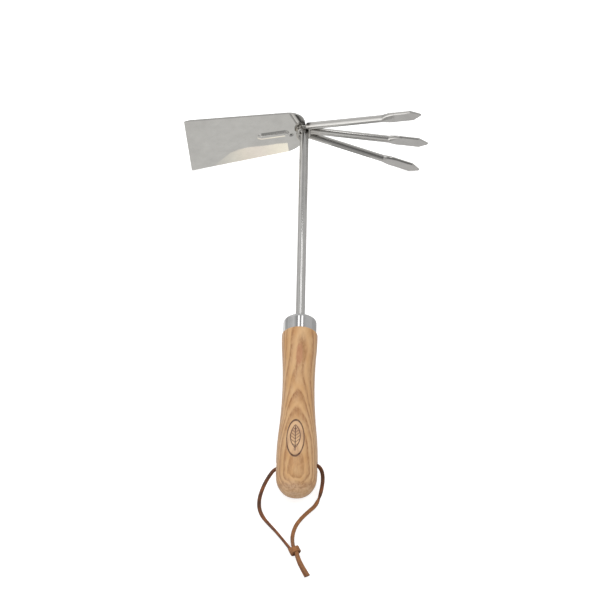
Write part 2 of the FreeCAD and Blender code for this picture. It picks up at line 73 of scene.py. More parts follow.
def mm(points):
    return [Vector((x / 1000.0, y / 1000.0, z / 1000.0)) for x, y, z in points]


# ---------------------------------------------------------------- lace
LACE_LEFT = mm([
    (-2.2, -139.2, 15.2), (-6.7, -139.5, 15.1), (-12.6, -139.6, 14.9), (-18.2, -141.2, 14.3),
    (-21.9, -146.0, 12.4), (-24.9, -150.4, 9.4), (-27.2, -155.0, 5.9), (-28.7, -160.2, 3.1),
    (-28.4, -166.6, 1.6), (-25.7, -172.8, 1.4), (-21.6, -177.9, 1.4), (-16.9, -183.1, 1.4),
    (-12.4, -188.7, 1.4), (-8.8, -193.6, 1.8), (-5.9, -197.8, 2.4),
])
LACE_RIGHT = mm([
    (-2.2, -139.2, 15.2), (2.3, -138.9, 15.3), (8.2, -137.8, 15.6), (13.0, -138.1, 15.4),
    (15.9, -141.6, 13.7), (16.6, -146.5, 10.5), (15.9, -151.4, 6.6), (14.4, -157.0, 3.4),
    (11.6, -163.3, 1.8), (6.6, -167.9, 1.4), (1.8, -173.1, 1.4), (-2.2, -179.0, 1.4),
    (-4.2, -185.7, 1.4), (-4.4, -192.0, 1.6), (-3.4, -197.3, 3.3),
])
LACE_D = 0.0027


def nurbs_line(name, points, resolution=24):
    """A NURBS route and the points along it."""
    curve = bpy.data.curves.new(name, "CURVE")
    curve.dimensions = "3D"
    curve.resolution_u = resolution
    spline = curve.splines.new("NURBS")
    spline.points.add(len(points) - 1)
    for p, c in zip(spline.points, points):
        p.co = (c.x, c.y, c.z, 1.0)
    spline.order_u = 3
    spline.use_endpoint_u = True
    holder = bpy.data.objects.new(name, curve)
    mesh = bpy.data.meshes.new_from_object(holder)
    line = [v.co.copy() for v in mesh.vertices]
    bpy.data.meshes.remove(mesh)
    bpy.data.objects.remove(holder)
    bpy.data.curves.remove(curve)
    return line


def spaced(line, step):
    """The line again at equal steps."""
    along = [0.0]
    for a, b in zip(line, line[1:]):
        along.append(along[-1] + (b - a).length)
    n = max(2, int(math.ceil(along[-1] / step)))
    out, k = [], 0
    for i in range(n + 1):
        s = along[-1] * i / n
        while k < len(line) - 2 and along[k + 1] < s:
            k += 1
        span = max(along[k + 1] - along[k], 1e-12)
        out.append(line[k].lerp(line[k + 1], (s - along[k]) / span))
    return out


def thong_section(width, thick, n=20, power=3.2):
    """A leather thong's cut section: a soft-cornered rectangle."""
    out = []
    for i in range(n):
        a = 2 * math.pi * i / n
        c, s = math.cos(a), math.sin(a)
        out.append((
            math.copysign(abs(c) ** (2 / power), c) * width / 2,
            math.copysign(abs(s) ** (2 / power), s) * thick / 2,
        ))
    return out


def thong(name, line, width, thick, twist, up=Vector((0, 0, 1)), n=20, swell=None, power=3.2, across=None):
    """A tube of thong section along line; twist(t) turns it and swell(t) scales it.
    across, where given, is the way that its width lies; otherwise the width starts level."""
    mesh = bpy.data.meshes.new(name)
    bm = bmesh.new()
    uv = bm.loops.layers.uv.new("UVMap")
    count = len(line)
    tangent = (line[1] - line[0]).normalized()
    side = tangent.cross(up)
    if side.length < 1e-4:
        side = tangent.cross(Vector((1, 0, 0)))
    side.normalize()
    rings, along = [], 0.0
    lengths = []
    base = thong_section(width, thick, n, power)
    for i, p in enumerate(line):
        a, b = line[max(i - 1, 0)], line[min(i + 1, count - 1)]
        t = (b - a).normalized()
        side = across if across is not None else side
        side = (side - t * side.dot(t)).normalized()
        other = t.cross(side)
        if i:
            along += (p - line[i - 1]).length
        lengths.append(along)
        u = i / (count - 1)
        turn = twist(u)
        c, s = math.cos(turn), math.sin(turn)
        k = swell(u) if swell else (1.0, 1.0)
        ring = []
        for x, y in base:
            x, y = x * k[0], y * k[1]
            ring.append(bm.verts.new(p + side * (x * c - y * s) + other * (x * s + y * c)))
        rings.append(ring)
    for i in range(count - 1):
        for j in range(n):
            k = (j + 1) % n
            f = bm.faces.new((rings[i][j], rings[i][k], rings[i + 1][k], rings[i + 1][j]))
            for loop, (ii, jj) in zip(f.loops, ((i, j), (i, j + 1), (i + 1, j + 1), (i + 1, j))):
                loop[uv].uv = (jj / n, lengths[ii] / LACE_D)
    for end, ring, p in ((0, rings[0], line[0]), (1, rings[-1], line[-1])):
        middle = bm.verts.new(p)
        v = lengths[-1] / LACE_D if end else 0.0
        for j in range(n):
            k = (j + 1) % n
            trio = (ring[k], ring[j], middle) if end == 0 else (ring[j], ring[k], middle)
            f = bm.faces.new(trio)
            for loop in f.loops:
                loop[uv].uv = (0.5, v)
    bmesh.ops.recalc_face_normals(bm, faces=bm.faces[:])
    bm.to_mesh(mesh)
    bm.free()
    for poly in mesh.polygons:
        poly.use_smooth = True
    o = bpy.data.objects.new(name, mesh)
    scene.collection.objects.link(o)
    return o


def ease(t, low, high):
    """0 before low, 1 after high, smooth between."""
    t = min(max((t - low) / (high - low), 0.0), 1.0)
    return t * t * (3 - 2 * t)


line_left = spaced(nurbs_line("route_left", LACE_LEFT), 0.0006)
line_right = spaced(nurbs_line("route_right", LACE_RIGHT), 0.0006)
# the thong lies flat, then turns on edge on the left and right over on the right
lace_left = thong("lace_left_thong", line_left, 0.00275, 0.0019, lambda t: 0.15 + 0.25 * math.sin(9 * t) + 0.72 * ease(t, 0.56, 0.68))
lace_right = thong("lace_right_thong", line_right, 0.0028, 0.0019, lambda t: 0.1 + 0.22 * math.sin(11 * t) + 0.9 * (1 - ease(t, 0.20, 0.32)) - 3.0 * ease(t, 0.40, 0.58))

TAIL_LEFT = mm([(-1.6, -200.2, 2.4), (-0.8, -203.4, 1.7), (0.8, -208.0, 1.1), (3.3, -213.4, 1.0), (5.9, -218.3, 1.0)])
TAIL_RIGHT = mm([(-1.3, -200.9, 3.9), (-0.4, -204.1, 3.5), (1.5, -208.6, 2.9), (4.4, -213.9, 2.7), (7.3, -218.6, 2.5)])
tail_left = thong("lace_tail_left_thong", spaced(nurbs_line("route_tail_left", TAIL_LEFT), 0.0006), 0.0028, 0.0018, lambda t: 3.25)
tail_right = thong("lace_tail_right_thong", spaced(nurbs_line("route_tail_right", TAIL_RIGHT), 0.0006), 0.0028, 0.0018, lambda t: 3.05 - 0.25 * t)

# the knot: both strands pass through two flat turns of the thong, whose ends are tucked inside
KNOT = Vector((-2.6, -199.4, 3.0)) / 1000
KNOT_AXIS = Vector((0.41, -0.91, 0.0)).normalized()
KNOT_ACROSS = Vector((0.91, 0.41, 0.0)).normalized()


def turn_point(angle, along, wide=3.4, high=1.7):
    a = math.radians(angle)
    return KNOT + (KNOT_ACROSS * (wide * math.cos(a)) + Vector((0, 0, 1)) * (high * math.sin(a)) + KNOT_AXIS * along) / 1000


# one long turn of each strand of the lace, side by side, the second a little askew over the first
turn_one = [turn_point(-150, -0.6, 1.6, 0.8), turn_point(200, -1.9)] + [turn_point(160 - 40 * i, -1.55 + 0.08 * i + 0.5 * math.sin(math.radians(160 - 40 * i))) for i in range(9)] + [turn_point(-200, -0.6, 1.6, 0.8)]
turn_two = [turn_point(-160, 0.2, 1.6, 0.8), turn_point(190, 1.0)] + [turn_point(150 - 40 * i, 0.85 + 0.07 * i - 0.35 * math.sin(math.radians(150 - 40 * i)), 3.45, 1.95) for i in range(9)] + [turn_point(-200, 0.9, 1.6, 0.8)]
knot_one = thong("lace_knot_turn_one", spaced(nurbs_line("route_turn_one", turn_one), 0.0004), 0.0027, 0.0016, lambda t: math.pi + 0.12 * math.sin(7 * t), across=KNOT_AXIS)
knot_two = thong("lace_knot_turn_two", spaced(nurbs_line("route_turn_two", turn_two), 0.0004), 0.0027, 0.0016, lambda t: math.pi + 0.15 * math.sin(5 * t + 1), across=KNOT_AXIS)


# the tool's own frame: X across, Y from the butt along the shaft, Z up from its back
TILT, ROLL = math.radians(4.0652), math.radians(-1.9669)
TOOL = Matrix.Translation(Vector((-2.205, -161.331, 13.6705)) / 1000) @ Matrix.Rotation(TILT, 4, "X") @ Matrix.Rotation(ROLL, 4, "Y")
TOOL_INV = TOOL.inverted()


# ---------------------------------------------------------------- weld
def tool_point(x, a, z):
    """A point of the tool's own frame, given in millimetres."""
    return TOOL @ (Vector((x, a, z)) / 1000)


def weld_metal():
    """The deposit: rippled beads laid round the end of the shaft and over the roots of the tines."""
    bm = bmesh.new()

    def drop(p, radius):
        bmesh.ops.create_icosphere(bm, subdivisions=2, radius=radius / 1000, matrix=Matrix.Translation(tool_point(*p)))

    def bead(points, step=0.42, ripple=0.09, pitch=1.05):
        along = 0.0
        for (x0, a0, z0, r0), (x1, a1, z1, r1) in zip(points, points[1:]):
            run = math.dist((x0, a0, z0), (x1, a1, z1))
            n = max(1, round(run / step))
            for i in range(n + (points[-1] == (x1, a1, z1, r1))):
                t = i / n
                r = r0 + (r1 - r0) * t
                # each pass of the torch leaves a scale: it swells quickly and fades slowly
                scale = ((along + run * t) / pitch) % 1.0
                r *= 1 + ripple * (0.5 - scale)
                drop((x0 + (x1 - x0) * t, a0 + (a1 - a0) * t, z0 + (z1 - z0) * t), r)
            along += run

    # the left bead, from the top of the blade's neck round to its back
    bead([(-2.5, 318.0, 4.8, 1.2), (-4.1, 317.3, 3.6, 1.35), (-5.0, 316.8, 0.6, 1.4), (-5.0, 316.4, -2.9, 1.4), (-3.9, 315.9, -5.4, 1.35), (-2.1, 315.7, -6.2, 1.2)])
    bead([(-4.0, 319.0, 1.6, 1.5), (-4.2, 318.6, -1.6, 1.5), (-3.4, 317.8, -4.2, 1.3)], ripple=0.05)
    # the right bead, along the roots of the tines
    bead([(2.6, 319.2, 5.6, 1.2), (3.8, 318.7, 4.0, 1.3), (4.1, 318.3, 0.6, 1.3), (4.1, 318.1, -2.8, 1.35), (3.7, 318.0, -5.4, 1.3), (1.9, 317.3, -5.9, 1.2)])
    # metal heaped on the shaft, with a low place to its right
    bead([(-1.7, 316.2, 3.3, 1.0), (-1.6, 317.6, 3.7, 1.35), (-1.4, 319.0, 3.6, 1.7)], ripple=0.04)
    bead([(-3.4, 315.9, 0.6, 0.75), (-3.7, 317.2, 0.4, 1.1)], ripple=0.0)
    bead([(-3.1, 319.2, 2.0, 1.3), (-3.4, 319.2, -2.0, 1.3)])
    bead([(5.4, 319.9, 3.4, 1.5), (5.7, 319.9, 0.0, 1.3), (5.5, 319.9, -3.4, 1.5)], ripple=0.12)
    # the root runs that tie shaft, blade and tines, front and back
    for a, radius, thick in ((319.9, 3.7, 1.25), (321.6, 3.4, 1.15)):
        ring = [(radius * math.cos(math.radians(k)), a, radius * math.sin(math.radians(k)), thick) for k in range(0, 361, 15)]
        bead(ring, ripple=0.08)
    bead([(2.4, 321.3, 3.8, 1.2), (2.6, 321.6, 0.0, 1.2), (2.4, 321.3, -3.8, 1.2)])
    bead([(-1.2, 320.9, 5.6, 0.9), (1.2, 320.8, 6.0, 0.9)])
    bead([(-1.2, 320.9, -5.6, 0.9), (1.2, 320.8, -6.0, 0.9)])
    rough = bpy.data.meshes.new("weld_rough")
    bm.to_mesh(rough)
    bm.free()
    holder = bpy.data.objects.new("weld_rough", rough)
    scene.collection.objects.link(holder)
    skin = holder.modifiers.new("skin", "REMESH")
    skin.mode = "VOXEL"
    skin.voxel_size = 0.00026
    soft = holder.modifiers.new("soft", "SMOOTH")
    soft.factor, soft.iterations = 0.5, 5
    bpy.context.view_layer.update()
    mesh = bpy.data.meshes.new_from_object(holder.evaluated_get(bpy.context.evaluated_depsgraph_get()))
    bpy.data.objects.remove(holder)
    bpy.data.meshes.remove(rough)
    mesh.name = "weld_beads"
    for poly in mesh.polygons:
        poly.use_smooth = True
    o = bpy.data.objects.new("weld_beads", mesh)
    scene.collection.objects.link(o)
    return o


weld_beads = weld_metal()


# ---------------------------------------------------------------- node helpers
class Nodes:
    """A short way to write a material's node tree."""

    def __init__(self, name):
        self.material = bpy.data.materials.new(name)
        self.material.use_nodes = True
        self.tree = self.material.node_tree
        self.tree.nodes.clear()
        self.out = self.tree.nodes.new("ShaderNodeOutputMaterial")
        self.bsdf = self.tree.nodes.new("ShaderNodeBsdfPrincipled")
        self.tree.links.new(self.bsdf.outputs[0], self.out.inputs["Surface"])

    def node(self, kind, **values):
        n = self.tree.nodes.new(kind)
        for k, v in values.items():
            setattr(n, k, v)
        return n

    def link(self, source, socket):
        if isinstance(source, (int, float)):
            socket.default_value = source
        elif isinstance(source, (tuple, list)):
            socket.default_value = source
        else:
            self.tree.links.new(source, socket)

    def math(self, operation, a, b=None, c=None, clamp=False):
        n = self.node("ShaderNodeMath", operation=operation, use_clamp=clamp)
        for s, v in zip(n.inputs, (a, b, c)):
            if v is not None:
                self.link(v, s)
        return n.outputs[0]

    def coords(self, scale=(1, 1, 1), offset=(0, 0, 0), rotation=(0, 0, 0), kind="Object"):
        c = self.node("ShaderNodeTexCoord")
        m = self.node("ShaderNodeMapping")
        self.tree.links.new(c.outputs[kind], m.inputs["Vector"])
        m.inputs["Scale"].default_value = scale
        m.inputs["Location"].default_value = offset
        m.inputs["Rotation"].default_value = rotation
        return m.outputs[0]

    def split(self, vector):
        n = self.node("ShaderNodeSeparateXYZ")
        self.link(vector, n.inputs[0])
        return n.outputs

    def join(self, x, y, z):
        n = self.node("ShaderNodeCombineXYZ")
        for s, v in zip(n.inputs, (x, y, z)):
            self.link(v, s)
        return n.outputs[0]

    def noise(self, vector, scale, detail=3.0, rough=0.55, distortion=0.0, dims="3D"):
        n = self.node("ShaderNodeTexNoise", noise_dimensions=dims)
        self.link(vector, n.inputs["Vector"]) if dims != "1D" else self.link(vector, n.inputs["W"])
        n.inputs["Scale"].default_value = scale
        n.inputs["Detail"].default_value = detail
        n.inputs["Roughness"].default_value = rough
        n.inputs["Distortion"].default_value = distortion
        return n.outputs[0]

    def ramp(self, value, stops, mode="LINEAR"):
        n = self.node("ShaderNodeValToRGB")
        self.link(value, n.inputs[0])
        ramp = n.color_ramp
        ramp.interpolation = mode
        while len(ramp.elements) > 1:
            ramp.elements.remove(ramp.elements[-1])
        first = True
        for at, colour in stops:
            e = ramp.elements[0] if first else ramp.elements.new(at)
            e.position = at
            e.color = tuple(colour) + (1.0,) if len(colour) == 3 else colour
            first = False
        return n.outputs[0]

    def curve(self, value, points):
        n = self.node("ShaderNodeFloatCurve")
        self.link(value, n.inputs["Value"])
        c = n.mapping.curves[0]
        c.points[0].location = points[0]
        c.points[-1].location = points[-1]
        for p in points[1:-1]:
            c.points.new(*p)
        for p in c.points:
            p.handle_type = "VECTOR"
        n.mapping.update()
        return n.outputs[0]

    def mix(self, factor, a, b, blend="MIX"):
        n = self.node("ShaderNodeMix", data_type="RGBA", blend_type=blend)
        self.link(factor, n.inputs["Factor"])
        for s, v in ((n.inputs[6], a), (n.inputs[7], b)):
            if isinstance(v, tuple) and len(v) == 3:
                v = v + (1.0,)
            self.link(v, s)
        return n.outputs[2]

    def range(self, value, a, b, c, d, clamp=True, kind="LINEAR"):
        n = self.node("ShaderNodeMapRange", clamp=clamp, interpolation_type=kind)
        for s, v in zip(n.inputs, (value, a, b, c, d)):
            self.link(v, s)
        return n.outputs[0]

    def bump(self, height, strength, distance, normal=None):
        n = self.node("ShaderNodeBump")
        n.inputs["Strength"].default_value = strength
        n.inputs["Distance"].default_value = distance
        self.link(height, n.inputs["Height"])
        if normal is not None:
            self.link(normal, n.inputs["Normal"])
        return n.outputs[0]

    def set(self, **values):
        for k, v in values.items():
            socket = self.bsdf.inputs[k.replace("_", " ")]
            if isinstance(v, tuple) and len(v) == 3 and socket.type == "RGBA":
                v = v + (1.0,)
            self.link(v, socket)


def lin(r, g, b):
    """sRGB 0-255 to linear."""
    def f(c):
        c /= 255.0
        return c / 12.92 if c <= 0.04045 else ((c + 0.055) / 1.055) ** 2.4
    return (f(r), f(g), f(b))


def tool_space(n):
    """Object coordinates turned into the tool's own frame, in millimetres."""
    c = n.node("ShaderNodeTexCoord")
    rows = []
    for i in range(3):
        d = n.node("ShaderNodeVectorMath", operation="DOT_PRODUCT")
        n.tree.links.new(c.outputs["Object"], d.inputs[0])
        d.inputs[1].default_value = tuple(TOOL_INV[i][j] * 1000 for j in range(3))
        rows.append(n.math("ADD", d.outputs["Value"], TOOL_INV[i][3] * 1000))
    return rows


# ---------------------------------------------------------------- ash
def ash():
    n = Nodes("ash_oiled")
    x, a, z = tool_space(n)
    where = n.join(x, a, z)
    # slow bends in the grain, longer along the handle than across it
    slow = n.noise(n.join(n.math("MULTIPLY", x, 0.10), n.math("MULTIPLY", a, 0.030), n.math("MULTIPLY", z, 0.10)), 1.0, 2.0, 0.5)
    slow = n.math("MULTIPLY", n.math("SUBTRACT", slow, 0.5), 1.7)
    ripple = n.noise(n.join(n.math("MULTIPLY", x, 0.35), n.math("MULTIPLY", a, 0.10), n.math("MULTIPLY", z, 0.35)), 1.0, 2.0, 0.5)
    ripple = n.math("MULTIPLY", n.math("SUBTRACT", ripple, 0.5), 0.55)
    depth = 58.0
    # towards the ferrule the grain leans to the right and closes
    lean = n.range(a, 85.0, 118.0, 0.0, 0.22, kind="SMOOTHSTEP")
    close = n.math("MULTIPLY", n.math("MAXIMUM", n.math("SUBTRACT", a, 110.0), 0.0), -0.035)
    rough_end = n.range(a, 5.0, 20.0, 3.2, 1.0)
    ripple = n.math("MULTIPLY", ripple, rough_end)
    dx = n.math("ADD", x, 1.2)
    dz = n.math("ADD", z, depth)
    r = n.math("SQRT", n.math("ADD", n.math("MULTIPLY", dx, dx), n.math("MULTIPLY", dz, dz)))
    g = n.math("SUBTRACT", n.math("SUBTRACT", r, depth), n.math("MULTIPLY", a, 0.072))
    g = n.math("ADD", n.math("ADD", g, slow), ripple)
    g = n.math("ADD", n.math("ADD", g, n.math("MULTIPLY", x, lean)), close)
    # growth rings: the level of each ring, 0-1 over the wood's depth, to its number
    level = n.range(g, -26.0, 15.0, 0.0, 1.0)
    def at(v):
        return (v + 26.0) / 41.0
    marks = [-24.0, -21.3, -18.0, -15.4, -12.3, -9.6, -6.9, -4.3, -1.4, 1.7, 4.75, 6.25, 8.25, 10.8, 12.6]
    points = [(0.0, 0.0)] + [(at(v), (i + 1) / 20.0) for i, v in enumerate(marks)] + [(1.0, 0.8)]
    phase = n.math("MULTIPLY", n.curve(level, points), 20.0)
    ring = n.math("FRACT", phase)
    number = n.math("FLOOR", phase)
    # early wood: a sharp dark edge that fades into the pale late wood
    early = n.ramp(ring, [(0.0, (0.95, 0.95, 0.95)), (0.08, (1, 1, 1)), (0.20, (0.80, 0.80, 0.80)), (0.40, (0.36, 0.36, 0.36)), (0.65, (0.1, 0.1, 0.1)), (0.82, (0.0, 0.0, 0.0)), (0.94, (0.38, 0.38, 0.38)), (1.0, (0.95, 0.95, 0.95))])
    tone = n.noise(number, 3.7, 0.0, 0.5, dims="1D")
    # pores: fine streaks along the grain
    streak = n.noise(n.join(n.math("MULTIPLY", x, 3.4), n.math("MULTIPLY", a, 0.16), n.math("MULTIPLY", z, 3.4)), 1.0, 4.0, 0.65)
    fine = n.noise(n.join(n.math("MULTIPLY", x, 9.0), n.math("MULTIPLY", a, 0.45), n.math("MULTIPLY", z, 9.0)), 1.0, 3.0, 0.6)
    pores = n.range(fine, 0.60, 0.74, 0.0, 1.0)
    pores = n.math("MULTIPLY", pores, n.math("ADD", n.math("MULTIPLY", early, 0.8), 0.12))
    blotch = n.noise(n.join(n.math("MULTIPLY", x, 0.13), n.math("MULTIPLY", a, 0.055), n.math("MULTIPLY", z, 0.13)), 1.0, 3.0, 0.5)
    pale, honey, brown = lin(218, 178, 130), lin(205, 156, 100), lin(150, 98, 56)
    base = n.mix(n.range(blotch, 0.35, 0.68, 0.0, 1.0), pale, honey)
    base = n.mix(n.math("MULTIPLY", n.range(streak, 0.38, 0.70, 0.0, 1.0), 0.30), base, lin(188, 142, 96))
    # the early wood is mottled where a ring runs nearly flat under the surface
    figure = n.noise(n.join(n.math("MULTIPLY", x, 0.62), n.math("MULTIPLY", a, 0.22), n.math("MULTIPLY", z, 0.62)), 1.0, 3.0, 0.6, 0.4)
    figure = n.range(figure, 0.34, 0.64, 0.50, 1.20)
    strength = n.math("MULTIPLY", n.math("MULTIPLY", early, figure), n.math("ADD", n.math("MULTIPLY", tone, 0.5), 0.50))
    strength = n.math("MULTIPLY", strength, n.range(a, 1.5, 7.0, 0.40, 1.0))
    # where a ring just grazes the surface below the ferrule it shows as a reddish fleck
    fleck = n.math("SQRT", n.math("ADD", n.math("POWER", n.math("ABSOLUTE", n.math("DIVIDE", n.math("SUBTRACT", x, 0.6), 2.5)), 2.0), n.math("POWER", n.math("ABSOLUTE", n.math("DIVIDE", n.math("SUBTRACT", a, 107.0), 11.0)), 2.0)))
    fleck = n.math("MULTIPLY", n.range(n.math("ADD", fleck, n.math("MULTIPLY", n.math("SUBTRACT", figure, 0.85), -0.6)), 0.55, 1.1, 0.55, 0.0, kind="SMOOTHSTEP"), n.range(z, 3.0, 6.0, 0.0, 1.0))
    # near the butt one wavy band of early wood closes the rings
    wave = n.noise(n.join(n.math("MULTIPLY", x, 0.30), 0.0, n.math("MULTIPLY", z, 0.08)), 1.0, 3.0, 0.6)
    band = n.math("SUBTRACT", n.math("SUBTRACT", a, n.math("ADD", 2.4, n.math("MULTIPLY", n.math("MULTIPLY", x, x), 0.018))), n.math("MULTIPLY", n.math("SUBTRACT", wave, 0.5), 7.0))
    band = n.math("MULTIPLY", n.range(n.math("ABSOLUTE", band), 0.5, 2.4, 0.75, 0.0, kind="SMOOTHSTEP"), n.range(z, -3.0, 5.0, 0.0, 1.0))
    strength = n.math("MAXIMUM", strength, n.math("MULTIPLY", band, figure))
    base = n.mix(strength, base, brown)
    base = n.mix(fleck, base, lin(186, 124, 86))
    base = n.mix(n.math("MULTIPLY", pores, 0.5), base, lin(146, 98, 56))
    # a burnt mark on the upper face: a plain oval line with a simple leaf
    u = n.math("SUBTRACT", x, -0.7)
    v = n.math("SUBTRACT", a, 38.0)
    top = n.range(z, 4.0, 5.0, 0.0, 1.0)
    oval = n.math("SQRT", n.math("ADD", n.math("POWER", n.math("ABSOLUTE", n.math("DIVIDE", u, 6.2)), 2.0), n.math("POWER", n.math("ABSOLUTE", n.math("DIVIDE", v, 14.6)), 2.0)))
    line = n.range(n.math("ABSOLUTE", n.math("SUBTRACT", oval, 1.0)), 0.035, 0.075, 1.0, 0.0)
    au = n.math("ABSOLUTE", u)
    # leaf blade: between two arcs
    half = n.math("SUBTRACT", n.math("SQRT", n.math("MAXIMUM", n.math("SUBTRACT", 14.6 * 14.6, n.math("MULTIPLY", n.math("SUBTRACT", v, 1.2), n.math("SUBTRACT", v, 1.2))), 0.0)), 11.1)
    inside = n.range(n.math("SUBTRACT", half, au), -0.15, 0.25, 0.0, 1.0)
    rim = n.range(n.math("ABSOLUTE", n.math("SUBTRACT", half, au)), 0.18, 0.42, 1.0, 0.0)
    rim = n.math("MULTIPLY", rim, n.range(half, -0.3, 0.0, 0.0, 1.0))
    midrib = n.math("MULTIPLY", n.range(au, 0.22, 0.42, 1.0, 0.0), n.range(n.math("ABSOLUTE", n.math("ADD", v, 0.6)), 9.6, 10.2, 1.0, 0.0))
    veins = n.math("FRACT", n.math("DIVIDE", n.math("SUBTRACT", v, n.math("MULTIPLY", au, 0.95)), 2.7))
    veins = n.math("MULTIPLY", n.range(n.math("ABSOLUTE", n.math("SUBTRACT", veins, 0.5)), 0.08, 0.17, 1.0, 0.0), inside)
    mark = n.math("MAXIMUM", n.math("MAXIMUM", line, rim), n.math("MAXIMUM", midrib, n.math("MULTIPLY", veins, 0.8)))
    mark = n.math("MULTIPLY", mark, top, clamp=True)
    scorch = n.math("MULTIPLY", n.range(oval, 0.85, 1.14, 1.0, 0.0), top)
    base = n.mix(n.math("MULTIPLY", scorch, 0.35), base, lin(228, 192, 158))
    patchy = n.range(n.noise(where, 0.9, 3.0, 0.6), 0.35, 0.6, 0.72, 1.0)
    base = n.mix(n.math("MULTIPLY", mark, patchy), base, lin(70, 36, 22))
    # the butt's end is painted a mottled greyish tone, mostly pale: partly the end grain's own tone and partly painted
    # light standing in for light on the end that faces the camera
    butt = n.range(a, 0.5, 8.0, 1.0, 0.0, kind="SMOOTHSTEP")
    base = n.mix(n.math("MULTIPLY", butt, 0.55), base, n.mix(n.range(figure, 0.75, 1.1, 0.0, 1.0), lin(212, 180, 148), lin(184, 144, 108)))
    n.set(Base_Color=base, Coat_Weight=0.5, Coat_Roughness=0.22, Coat_IOR=1.45, Specular_IOR_Level=0.45, Sheen_Weight=0.55, Sheen_Roughness=0.30, Sheen_Tint=(0.96, 0.93, 0.92))
    rough = n.math("ADD", n.math("MULTIPLY", early, 0.08), n.range(fine, 0.3, 0.7, 0.42, 0.54))
    n.set(Roughness=rough)
    height = n.math("SUBTRACT", n.math("MULTIPLY", streak, 0.12), n.math("ADD", n.math("MULTIPLY", pores, 0.5), n.math("MULTIPLY", mark, 1.6)))
    n.set(Normal=n.bump(height, 0.5, 0.00018))
    return n.material


# ---------------------------------------------------------------- steel
def steel(name, colour, rough, along=(1, 1, 1), lines=0.25, mottle=0.05, bump=0.15, tint=None, distance=0.00003, painted_shade=()):
    """Polished or satin steel; along stretches the polishing lines, per axis of the tool's frame."""
    n = Nodes(name)
    x, a, z = tool_space(n)
    scratch = n.noise(n.join(n.math("MULTIPLY", x, along[0]), n.math("MULTIPLY", a, along[1]), n.math("MULTIPLY", z, along[2])), 1.0, 4.0, 0.7)
    cloud = n.noise(n.join(x, a, z), 0.11, 4.0, 0.6)
    wipe = n.noise(n.join(x, a, z), 0.55, 3.0, 0.6, 0.6)
    dark = tuple(c * (1 - mottle * 2.2) for c in colour)
    base = n.mix(n.range(cloud, 0.3, 0.7, 0.0, 1.0), colour, dark)
    base = n.mix(n.math("MULTIPLY", n.range(scratch, 0.35, 0.75, 0.0, 1.0), lines), base, tuple(c * 0.82 for c in colour))
    if tint:
        middle, radius, tone = tint
        d = n.node("ShaderNodeVectorMath", operation="DISTANCE")
        n.link(n.join(x, a, z), d.inputs[0])
        d.inputs[1].default_value = middle
        near = n.range(d.outputs["Value"], radius * 0.4, radius, 1.0, 0.0, kind="SMOOTHSTEP")
        near = n.math("MULTIPLY", near, n.range(wipe, 0.3, 0.7, 0.4, 1.0))
        base = n.mix(n.math("MULTIPLY", near, 0.6), base, tone)
    for middle, stretch, reach, depth in painted_shade:
        # painted shade, a near-black spot standing in for the shadow in the weld's gaps, at the tines' roots and in the
        # blade's dimple: its middle, its size along each axis, and how dark
        d = n.node("ShaderNodeVectorMath", operation="DISTANCE")
        n.link(n.join(*[n.math("DIVIDE", v, w) for v, w in zip((x, a, z), stretch)]), d.inputs[0])
        d.inputs[1].default_value = tuple(m / w for m, w in zip(middle, stretch))
        painted_shade_mask = n.range(n.math("ADD", d.outputs["Value"], n.math("MULTIPLY", n.math("SUBTRACT", wipe, 0.5), 0.8)), reach * 0.3, reach, depth, 0.0, kind="SMOOTHSTEP")
        base = n.mix(painted_shade_mask, base, (0.045, 0.042, 0.04))
    n.set(Base_Color=base, Metallic=1.0)
    n.set(Roughness=n.math("ADD", n.math("MULTIPLY", n.math("SUBTRACT", scratch, 0.5), 0.10), n.range(wipe, 0.3, 0.7, rough * 0.85, rough * 1.2)))
    n.set(Normal=n.bump(scratch, bump, distance))
    return n.material


